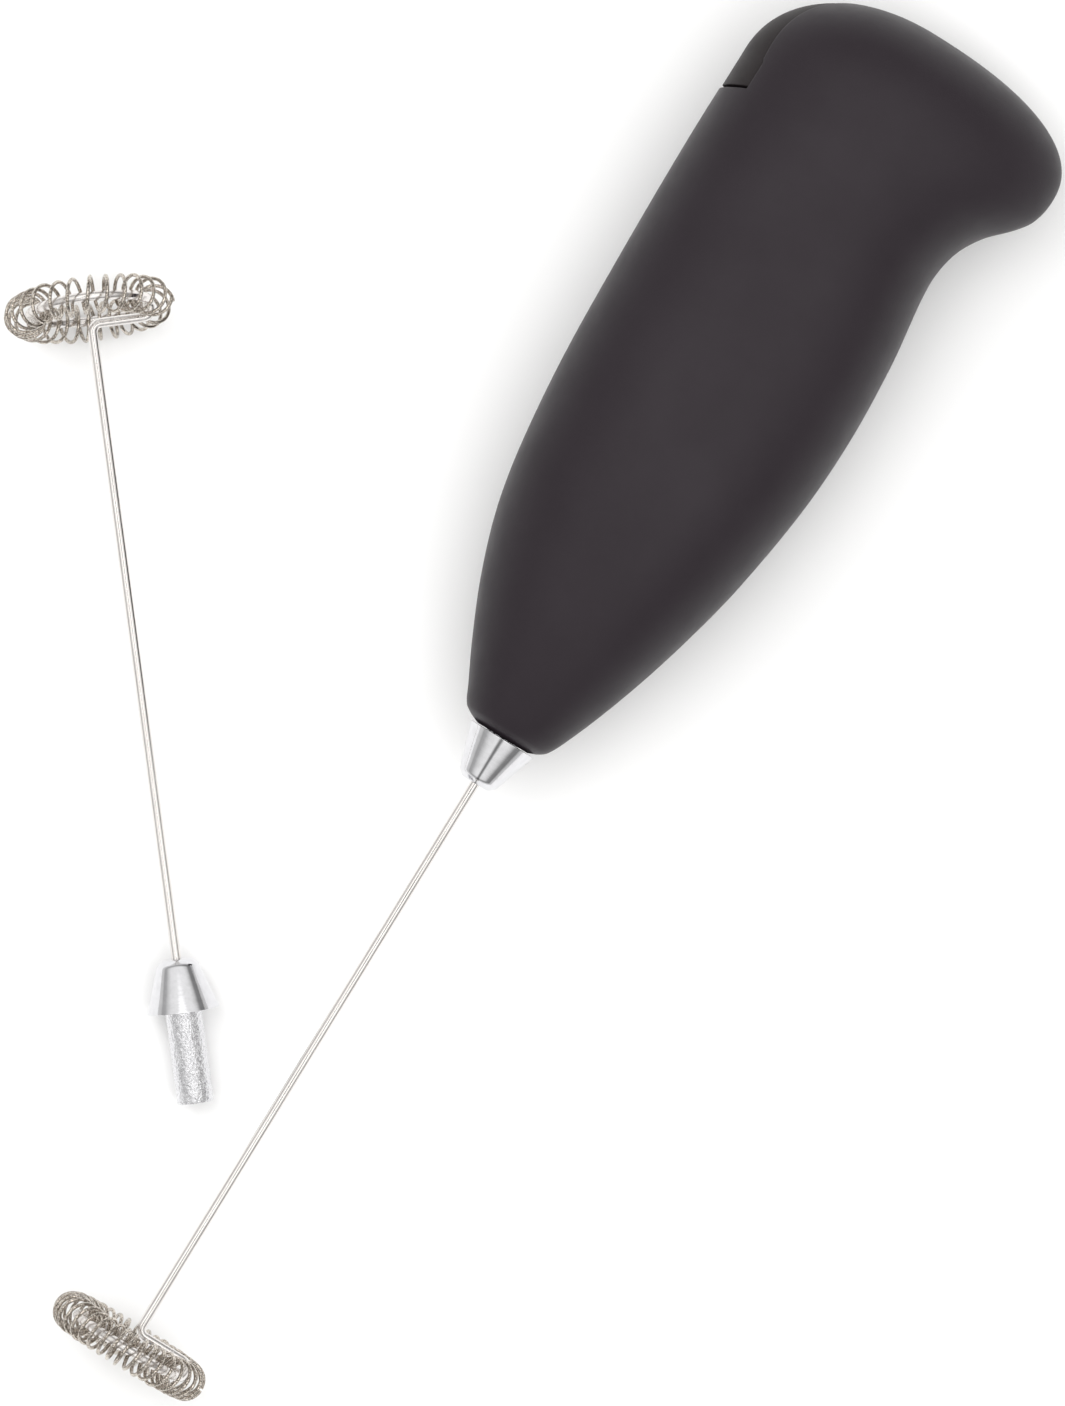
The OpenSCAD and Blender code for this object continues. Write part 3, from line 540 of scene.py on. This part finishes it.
def battery_wrap(name, plus_up):
    """Printed film on a cell: a dark barrel, a light band at the nipple end, bare steel ends."""
    low, high = (c[1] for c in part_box("battery_a"))
    p = Paint(name)
    split = p.tree.nodes.new("ShaderNodeSeparateXYZ")
    p.link(p.place, split.inputs["Vector"])
    share = p.spread(split.outputs["Y"], *((0, 1) if plus_up else (1, 0)), low, high)
    steel, dark, band = (0.62, 0.61, 0.6), (0.03, 0.032, 0.04), (0.5, 0.2, 0.06)
    film_from, band_from, film_to = 0.012, 0.7, 0.965
    bare, film, foil = (1, 1, 1), (0, 0, 0), (0.6,) * 3
    colour = p.ramp(share, [(0.0, steel), (film_from, dark), (band_from, band), (film_to, steel)])
    metal = p.ramp(share, [(0.0, bare), (film_from, film), (band_from, foil), (film_to, bare)])
    for node in (colour.node, metal.node):
        node.color_ramp.interpolation = "CONSTANT"
    p.colour(colour)
    p.link(metal, p.shader.inputs["Metallic"])
    p.roughness(p.spread(p.noise(500, 4), 0.2, 0.34))
    p.bump((p.noise(1200, 3), 0.000008))
    return p.material


SHELL = soft_touch("shell", (0.0195, 0.0148, 0.0188), (0.023, 0.018, 0.0224), 0.44, 0.21)
STRIP = soft_touch("strip", (0.015, 0.0115, 0.0125), (0.018, 0.0142, 0.015), 0.5, 0.16)
CHROME = polished("chrome", (0.75, 0.75, 0.77), 0.055, 5000)
SLEEVE = pitted_steel("sleeve")
STAINLESS = drawn_wire("stainless", (0.74, 0.71, 0.69), (0.86, 0.83, 0.81), 0.2)
# Coil wire: its light colour stop is the wire's own tone. Its very dark brown stop is painted shade: dark patches
# that stand in for the shade between the tight windings.
COIL_WIRE_PAINTED_SHADE = drawn_wire("coil_wire", (0.19, 0.158, 0.128), (0.78, 0.725, 0.655), 0.08,
                       grain=(1, 1, 1), blend=0.1)
FRAME_PLASTIC = moulded("frame_plastic", (0.5, 0.5, 0.47), (0.58, 0.58, 0.55), 0.5)
CAP_PLASTIC = moulded("cap_plastic", (0.7, 0.67, 0.56), (0.78, 0.75, 0.64), 0.45)
ZINC = plain_metal("zinc", (0.48, 0.49, 0.5), (0.66, 0.66, 0.66), 0.34)
NICKEL = plain_metal("nickel", (0.6, 0.58, 0.54), (0.72, 0.7, 0.66), 0.26)
BRASS = plain_metal("brass", (0.66, 0.47, 0.2), (0.8, 0.6, 0.3), 0.3)
BRONZE = plain_metal("bronze", (0.5, 0.3, 0.15), (0.64, 0.42, 0.24), 0.42, 1500)
COPPER = plain_metal("copper", (0.5, 0.19, 0.09), (0.66, 0.3, 0.15), 0.34, 1200)
FERRITE = moulded("ferrite", (0.04, 0.04, 0.045), (0.06, 0.06, 0.065), 0.6, 4000)
RED_PVC = moulded("red_insulation", (0.4, 0.018, 0.014), (0.48, 0.025, 0.02), 0.34, 900)
BLACK_PVC = moulded("black_insulation", (0.016, 0.016, 0.016), (0.024, 0.024, 0.024), 0.36, 900)
CELL_UP = battery_wrap("cell_up", True)
CELL_DOWN = battery_wrap("cell_down", False)


def piece(obj, body, slot, material, *nodes):
    """Puts a finished piece on its body, in place of CAD nodes."""
    obj.data.materials.clear()
    obj.data.materials.append(material)
    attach(obj, body)
    if nodes:
        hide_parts(*nodes)
    return obj


# ------------------------------------------------------------------ the two shells
def ring_levels():
    """Heights of the shell's rings, close where the outline turns fast."""
    low = strip_edge(0) - STRIP_LOW_GAP
    high = strip_edge(STRIP_W + STRIP_GAP) - STRIP_LOW_GAP
    tip = STRIP_TIP + STRIP_GAP
    rise = HANDLE_LEN - CROWN_START
    top_angle, least_step = 89.4, 0.015
    crown_angles = [*np.arange(0, top_angle, 1.8), top_angle]
    nose = [0.12 * i for i in range(15)] + [WALL - 0.02, WALL]
    nose += [WALL + 0.35 * i for i in range(1, 13)]
    grip = list(np.arange(6.4, low - 0.4, 0.95))
    opening_foot = [low + (high - low) * (i / 12) ** 2 for i in range(13)]
    opening_sides = list(np.arange(high + 0.4, CROWN_START, 0.5))
    opening_tip = [tip - 2.2 * (i / 12) ** 2 for i in range(13)]
    crown = [CROWN_START + rise * math.sin(math.radians(a)) for a in crown_angles]
    kept = []
    for z in sorted(nose + grip + opening_foot + opening_sides + opening_tip + crown):
        if not kept or z - kept[-1] > least_step:
            kept.append(z)
    return kept


def shell_loop(z):
    """One closed loop round the wall of a half shell at a height, on the y > 0 side."""
    outer_steps, inner_steps = 110, 56
    gap = opening_half(z)
    thin = 0.25 * side(z, 0)
    open_share = min(gap / 1.5, 1)
    beak_r = min(SPLIT_ROUND, thin)
    back_r = min(SPLIT_ROUND + (OPENING_ROUND - SPLIT_ROUND) * open_share, thin)
    outer = arc_points(z, 0, beak_r, gap + back_r, outer_steps)
    turns = [math.radians(90 * i / EDGE_STEPS) for i in range(1, EDGE_STEPS + 1)]
    back_edge = [skin_point(z, gap + back_r * (1 - math.sin(a)), back_r * (1 - math.cos(a)), True)
                 for a in turns]
    beak_edge = [skin_point(z, beak_r * (1 - math.sin(a)), beak_r * (1 - math.cos(a)), False)
                 for a in reversed(turns)]
    if z < WALL:
        a = np.linspace(math.pi, 0, inner_steps + 1)
        inner = np.column_stack([NOSE_HOLE_R * np.cos(a), NOSE_HOLE_R * np.sin(a),
                                 np.full_like(a, z)])
    else:
        inner = arc_points(lowered(z, WALL), WALL, 0, gap, inner_steps)[::-1]
    return np.concatenate([outer, back_edge, inner, beak_edge]), outer_steps + 1, inner_steps + 1


def half_shell():
    """Vertices and faces of the half shell on the y > 0 side, in the handle's frame."""
    rings = [shell_loop(z) for z in ring_levels()]
    n_out, n_in = rings[0][1], rings[0][2]
    verts, faces = loops_solid([r[0] for r in rings], caps=False)
    count = len(rings[0][0])
    top = (len(rings) - 1) * count
    faces.append([count - 1 - k for k in range(count)])
    faces.append([top + k for k in range(n_out)])
    inner = n_out + EDGE_STEPS
    faces.append([top + inner + k for k in range(n_in)])
    rim = [n_out - 1, *range(n_out, inner + 1), *range(inner + n_in - 1, count), 0]
    faces.append([top + k for k in rim])
    return verts, faces


def cover_hook(z, at_back):
    """Hook inside the cover that clips under the base shell's wall."""
    line = BACK_LINE if at_back else FRONT_LINE
    wall = min(reach(line, 2, h, WALL) for h in (z, z + HOOK_LEN))
    near, far, lip = wall - 1.5, wall - 0.35, wall + 0.5
    parts = []
    for (a, b), (y0, y1) in (((near, far), (-2.0, 2.4)), ((near, lip), (-2.6, -1.4))):
        lo, hi = (-b, -a) if at_back else (a, b)
        parts.append(box_parts((lo, y0, z), (hi, y1, z + HOOK_LEN)))
    return joined(parts)


def screw_boss(x, z):
    """Hollow post that stands in the base shell, with its foot inside the wall."""
    foot = WALL / 2
    n = back_square(z)
    end = side(z, foot) * (1 - (abs(x) / back(z, foot)) ** n) ** (1 / n) - BOSS_FLOOR
    profile = [(BOSS_BORE_R, 0), (BOSS_R, 0), (BOSS_R, end, 0), (BOSS_BORE_R, end, 0)]
    return along_y(revolve(rounded(profile, 0.15), 40), x, z, BOSS_FLOOR)


def make_shells():
    """The base shell with its screw bosses, and the cover with its hooks."""
    sharp = 40
    half = half_shell()
    verts, faces = joined([half, joined([screw_boss(x, z) for x, z in BOSS_PLACES])])
    obj = new_mesh("base_shell_skin", to_row(verts), faces)
    piece(sharpen(face_outward(obj), sharp), "root", "shell", SHELL, "housing_base")

    flipped = np.array(half[0]) * [1, -1, 1] - [0, COVER_GAP, 0]
    hooks = [cover_hook(z, True) for z in HOOKS_BACK] + [cover_hook(z, False) for z in HOOKS_FRONT]
    verts, faces = joined([(flipped, half[1])] + hooks)
    obj = new_mesh("cover_shell_skin", to_row(verts), faces)
    piece(sharpen(face_outward(obj), sharp), "cover", "shell", SHELL, "housing_cover")


# ------------------------------------------------------------------ thumb strip
def strip_sink(y):
    """How far the strip's face lies below the shell's, more at its sides."""
    return STRIP_RECESS + STRIP_SIDE_RECESS * (y / STRIP_W) ** 2


def strip_layer(shrink, inset, rows, cols):
    """Grid of points over the strip, drawn in from its outline and down from its surface."""
    least = 0.02
    points = []
    for i in range(rows + 1):
        s = math.sin(math.pi / 2 * i / rows)
        for k in range(cols + 1):
            share = 2 * k / cols - 1
            low = strip_edge(STRIP_W * share) + shrink
            z = (1 - s) * low + s * (STRIP_TIP - STRIP_TIP_PLAY - shrink)
            y = max(strip_half(z, -shrink), least) * share
            deep = min(strip_sink(y) + inset, WALL)
            points.append(skin_point(lowered(z, deep), y, deep, True))
    return points


def border(rows, cols):
    """Indices round the edge of a grid, in order."""
    w = cols + 1
    low = [k for k in range(cols)]
    right = [i * w + cols for i in range(rows)]
    top = [rows * w + k for k in range(cols, 0, -1)]
    left = [i * w for i in range(rows, 0, -1)]
    return low + right + top + left


def strip_plate():
    """The strip itself: its face with rounded edges, its sides and its underside."""
    rows, cols, round_steps = 64, 40, 5
    turns = [math.radians(90 * i / round_steps) for i in range(round_steps + 1)]
    layers = [strip_layer(OPENING_ROUND * (1 - math.sin(a)), OPENING_ROUND * (1 - math.cos(a)),
                          rows, cols) for a in turns]
    layers.append(strip_layer(0, WALL, rows, cols))
    per = len(layers[0])
    verts = [p for layer in layers for p in layer]
    w = cols + 1
    cells = [(i * w + k, i * w + k + 1, (i + 1) * w + k + 1, (i + 1) * w + k)
             for i in range(rows) for k in range(cols)]
    last = (len(layers) - 1) * per
    faces = [list(c) for c in cells] + [[last + j for j in reversed(c)] for c in cells]
    edge = border(rows, cols)
    for n in range(len(layers) - 1):
        a, b = n * per, (n + 1) * per
        faces += [[a + edge[j], b + edge[j], b + edge[(j + 1) % len(edge)],
                   a + edge[(j + 1) % len(edge)]] for j in range(len(edge))]
    used = sorted({i for f in faces for i in f})
    lookup = {old: new for new, old in enumerate(used)}
    return [verts[i] for i in used], [[lookup[i] for i in f] for f in faces]


def make_strip():
    """The strip with the hub and web that hold it on its pin, and the nub that bends the leaf."""
    profile = [(HUB_BORE_R, 0), (HUB_R, 0), (HUB_R, 2 * HUB_HALF), (HUB_BORE_R, 2 * HUB_HALF)]
    hub = along_y(revolve(rounded(profile, 0.2), 64), PIN_X, PIN_Z, -HUB_HALF)
    web = box_parts((WEB_BACK, -HUB_HALF, PIN_Z - WEB_HALF),
                    (PIN_X - 0.7 * HUB_R, HUB_HALF, PIN_Z + WEB_HALF))
    nub = box_parts(NUB_LOW, NUB_HIGH, 0.2)
    verts, faces = joined([strip_plate(), hub, web, nub])
    obj = new_mesh("thumb_strip_skin", to_row(verts), faces)
    piece(sharpen(face_outward(obj), 50), "button", "strip", STRIP, "switch_button")


# ------------------------------------------------------------------ whisks
def whisk_matrix(origin, along_arm, up_stem):
    """Place of a whisk whose cone's base is at the origin."""
    z = Vector(up_stem).normalized()
    x = (Vector(along_arm) - z * Vector(along_arm).dot(z)).normalized()
    y = z.cross(x)
    rot = Matrix((x, y, z)).transposed().to_4x4()
    return Matrix.Translation(origin) @ rot


def leaning(points, lean):
    """Leans points over about the arm."""
    p = np.asarray(points, float) - [0, 0, ARM_Z]
    return p @ np.array(Matrix.Rotation(math.radians(lean), 3, "X")).T + [0, 0, ARM_Z]


def bend(centre, start, towards, radius, steps=16):
    """Right-angled bend about a centre, from the direction start to the direction towards."""
    c, s, t = (np.array(v, float) for v in (centre, start, towards))
    return [c + radius * (math.cos(a) * s + math.sin(a) * t)
            for a in np.linspace(0, math.pi / 2, steps + 1)]


def wire_route(lean):
    """Middle line of the stem, its arm, its dive into the coil and the core ring."""
    stem_top, corner = -1.0, ARM_Z + BEND_R
    dive_x, dive_z = DROP_X - DROP_R, ARM_Z - DROP_R
    stem = [np.array([0, 0, z]) for z in np.linspace(stem_top, corner + 0.4, 60)]
    first = bend((BEND_R, 0, corner), (-1, 0, 0), (0, 0, -1), BEND_R)
    arm = [np.array([x, 0, ARM_Z]) for x in np.linspace(BEND_R + 0.3, dive_x - 0.2, 8)]
    dive = bend((dive_x, 0, dive_z), (0, 0, 1), (1, 0, 0), DROP_R)
    out = bend((DROP_X, TURN_R, dive_z), (0, -1, 0), (0, 0, -1), TURN_R)
    start = math.asin(TURN_R / CORE_R)
    ring = [np.array([CORE_R * math.cos(a), CORE_R * math.sin(a), -RING_DROP])
            for a in np.linspace(start + 0.03, start + math.radians(CORE_ANGLE), 150)]
    return np.concatenate([stem, first, leaning(arm + dive + out[1:] + ring, lean)])


def coil_route(turns, steps, lean):
    """Middle line of the spring wound round the ring, a little uneven as a real one is."""
    start, end = math.radians(COIL_GAP), math.radians(360 - COIL_GAP)
    count = round(turns * (end - start) / (2 * math.pi))
    t = np.linspace(0, 1, count * steps + 1)
    wobble = sum(size * np.sin(2 * math.pi * (waves * t + phase)) for size, waves, phase in WOBBLES)
    fade = np.minimum(1, np.minimum(t, 1 - t) * 12)
    a = start + (end - start) * t + wobble * fade
    w = 2 * math.pi * count * t
    slack = COIL_SLACK * (SLACK_MEAN + np.sin(2 * math.pi * SLACK_WAVES * t))
    wind = COIL_R - COIL_WIRE_R - slack
    r = RING_R + wind * np.cos(w)
    points = np.column_stack([r * np.cos(a), r * np.sin(a), wind * np.sin(w) - RING_DROP])
    return leaning(points, lean)


def cone_parts():
    """The cone round the stem, from its wide base down to its rounded tip."""
    profile = [(STEM_R, 0, 0), (CONE_R, 0, 0.1), (CONE_TIP_R, -CONE_LEN + CONE_ROUND_UP, 1.2),
               (CONE_END_R, -CONE_LEN, 0.9), (STEM_R, -CONE_LEN, 0.12)]
    return revolve(rounded(profile, 0.2, 8), 128)


def plug_parts():
    """The plug round the stem, with a shallow dish in its end."""
    dish = PLUG_LEN - DISH_DEEP
    profile = [(STEM_R, 0, 0), (PLUG_R, 0, 0), (PLUG_R, PLUG_LEN, 0.35),
               (DISH_R, PLUG_LEN, 0.15), (DISH_R - DISH_TAPER, dish, 0.1), (STEM_R, dish, 0)]
    return revolve(rounded(profile, 0.2, 6), 128)


def whisk_piece(name, parts, matrix, body, slot, material, node, angle=40):
    """Piece of a whisk, placed by the matrix; its grain follows the whisk's own axes."""
    verts, faces = parts
    pose = np.array(matrix)
    own = np.asarray(verts, float) * MM
    obj = new_mesh(name, own @ pose[:3, :3].T + pose[:3, 3], faces)
    grain = obj.data.attributes.new("own_axes", "FLOAT_VECTOR", "POINT")
    grain.data.foreach_set("vector", own.astype(np.float32).ravel())
    sharpen(face_outward(obj), angle)
    return piece(obj, body, slot, material, node)


def make_whisk(prefix, matrix, body, turns, lean):
    """The four pieces of a whisk."""
    node = "whisk" if prefix == "fitted" else "spare"
    whisk_piece(prefix + "_cone_skin", cone_parts(), matrix, body, "chrome", CHROME,
                node + "_cone")
    whisk_piece(prefix + "_plug_skin", plug_parts(), matrix, body, "chrome", SLEEVE,
                node + "_plug")
    whisk_piece(prefix + "_wire_skin", sweep(wire_route(lean), STEM_R, 28), matrix, body,
                "stainless", STAINLESS, node + "_wire")
    coil = sweep(coil_route(turns, 40, lean), COIL_WIRE_R, 12)
    whisk_piece(prefix + "_coil_skin", coil, matrix, body, "coil_wire", COIL_WIRE_PAINTED_SHADE,
                node + "_coil", 80)


def make_whisks():
    """The fitted whisk on the spindle, and the spare one where its plug's mount says."""
    fitted_base = Vector((SPINDLE.x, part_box("whisk_cone")[1][1], SPINDLE.z))
    fitted = whisk_matrix(fitted_base, (1, 0, 0), (0, 1, 0))
    make_whisk("fitted", fitted, "whisk", FITTED_TURNS, 0.0)
    plug = MOUNTS["spare_plug"]
    up = Vector(plug["axis"]).normalized()
    base = Vector(plug["pos_m"]) - up * PLUG_MOUNT_UP * MM
    spare = whisk_matrix(base, (-up.y, up.x, 0), up)
    make_whisk("spare", spare, "spare_whisk", SPARE_TURNS, SPARE_LEAN)


# ------------------------------------------------------------------ inside of the handle
NODE_LOOKS = {
    "chassis": FRAME_PLASTIC, "chassis_screws": ZINC, "motor_strap": ZINC,
    "strap_screws": ZINC, "battery_a": CELL_UP, "battery_b": CELL_DOWN,
    "negative_spring": NICKEL, "positive_plate": NICKEL, "bridge_contact": NICKEL,
    "red_lead": RED_PVC, "black_lead": BLACK_PVC, "switch_lead": BLACK_PVC,
    "button_pin": ZINC, "switch_leaf": BRASS, "switch_contact": BRASS, "motor_can": ZINC,
    "motor_magnets": FERRITE, "motor_end_cap": CAP_PLASTIC, "motor_brushes": BRASS,
    "motor_terminals": BRASS, "front_bush": BRONZE, "rear_bush": BRONZE,
    "motor_shaft": NICKEL, "motor_armature": COPPER, "motor_commutator": BRASS,
    "drive_socket": BRASS,
}


def dress_nodes():
    """Gives the pieces inside the handle, which stay as the CAD made them, their materials."""
    for name, look in NODE_LOOKS.items():
        mesh = frame["nodes"][name].data
        mesh.materials.clear()
        mesh.materials.append(look)


# ------------------------------------------------------------------ floor, light, camera
def softbox(name, place, size, power):
    """Rectangular light that faces the middle of the table and leaves no reflection."""
    data = bpy.data.lights.new(name, "AREA")
    data.shape = "RECTANGLE"
    data.size, data.size_y = size
    data.energy = power
    obj = bpy.data.objects.new(name, data)
    bpy.context.scene.collection.objects.link(obj)
    obj.location = place
    obj.rotation_euler = (-Vector(place)).to_track_quat("-Z", "Y").to_euler()
    obj.visible_glossy = False


def make_floor():
    """A white table top."""
    p = Paint("table_top", Roughness=0.7, Specular_IOR_Level=0.1)
    p.colour(p.ramp(p.noise(14, 3), [(0.3, (0.88, 0.88, 0.88)), (0.7, (0.9, 0.9, 0.9))]))
    half = 3.0
    obj = new_mesh("floor", [(-half, -half, 0), (half, -half, 0), (half, half, 0),
                             (-half, half, 0)], [[0, 1, 2, 3]])
    obj.data.materials.append(p.material)


def warm_ramp(tree, source, stops):
    """Ramp of a slightly warm white through (height, brightness) stops."""
    return ramp_node(tree, source, [(at, (v, v * 0.995, v * 0.985)) for at, v in stops])


def panel_seam(tree, x, y):
    """Shade of the narrow seam between the roof's two panels, on the whisk's side only."""
    away = tree.nodes.new("ShaderNodeMath")
    away.operation = "ABSOLUTE"
    tree.links.new(x, away.inputs[0])
    shade = tree.nodes.new("ShaderNodeMath")
    shade.operation = "MAXIMUM"
    tree.links.new(map_range(tree, away.outputs[0], 0.04, 0.15, 0.25, 1), shade.inputs[0])
    tree.links.new(map_range(tree, y, -0.35, -0.25, 0, 1), shade.inputs[1])
    return shade.outputs[0]


def light_tent():
    """A white tent round the table: darker where its side walls meet its roof, more so on the
    beak's side, with a seam in its roof and a dark hole overhead, where the lens looks in."""
    world = bpy.data.worlds.new("studio")
    world.use_nodes = True
    tree = world.node_tree
    aim = tree.nodes.new("ShaderNodeTexCoord").outputs["Generated"]
    split = tree.nodes.new("ShaderNodeSeparateXYZ")
    tree.links.new(aim, split.inputs["Vector"])
    up = split.outputs["Z"]
    roof = [(0.72, 0.78), (0.88, 0.84), (0.93, 1.4), (0.978, 1.5), (0.986, 0.05)]
    pale_wall = [(0.0, 0.62), (0.2, 0.55), (0.3, 0.36), (0.46, 0.4), (0.6, 0.62)]
    deep_wall = [(0.0, 0.62), (0.16, 0.5), (0.26, 0.2), (0.46, 0.22), (0.6, 0.6)]
    pale = warm_ramp(tree, up, pale_wall + roof)
    deep = warm_ramp(tree, up, deep_wall + roof)
    towards = tree.nodes.new("ShaderNodeVectorMath")
    towards.operation = "DOT_PRODUCT"
    to_beak = (0.85, 0.52, 0.0)
    towards.inputs[1].default_value = to_beak
    tree.links.new(aim, towards.inputs[0])
    mix = tree.nodes.new("ShaderNodeMix")
    mix.data_type = "RGBA"
    tree.links.new(map_range(tree, towards.outputs["Value"], -0.4, 0.4, 0, 1),
                   mix.inputs["Factor"])
    tree.links.new(pale, mix.inputs[6])
    tree.links.new(deep, mix.inputs[7])
    seam = tree.nodes.new("ShaderNodeVectorMath")
    seam.operation = "SCALE"
    tree.links.new(mix.outputs[2], seam.inputs[0])
    tree.links.new(panel_seam(tree, split.outputs["X"], split.outputs["Y"]),
                   seam.inputs["Scale"])
    sky = tree.nodes["Background"]
    tree.links.new(seam.outputs["Vector"], sky.inputs["Color"])
    sky.inputs["Strength"].default_value = 1.3
    return world


def make_light():
    """The tent, and a softbox on each side of the table."""
    bpy.context.scene.world = light_tent()
    box_size = (0.6, 1.3)
    softbox("left_box", (-0.45, 0.1, 1.2), box_size, 5.8)
    softbox("right_box", (0.5, -0.05, 1.2), box_size, 5.3)
    bpy.context.scene.view_settings.view_transform = "Standard"


def make_camera():
    """Straight down on the table, with the handle's axis turned clockwise in the picture."""
    centre = Vector((SPINDLE.x + PICTURE_X * MM, NOSE_Y + PICTURE_Z * MM, SPINDLE.z))
    tall = PICTURE_TALL * MM
    distance = 1.6
    data = bpy.data.cameras.new("camera")
    data.sensor_width = 36.0
    data.lens = data.sensor_width * distance / tall
    data.clip_start, data.clip_end = 0.05, 20.0
    obj = bpy.data.objects.new("camera", data)
    bpy.context.scene.collection.objects.link(obj)
    obj.location = centre + Vector((0, 0, distance))
    obj.rotation_euler = (0, 0, math.radians(PICTURE_TURN))
    bpy.context.scene.camera = obj


make_camera()
make_shells()
make_strip()
make_whisks()
dress_nodes()
make_floor()
make_light()
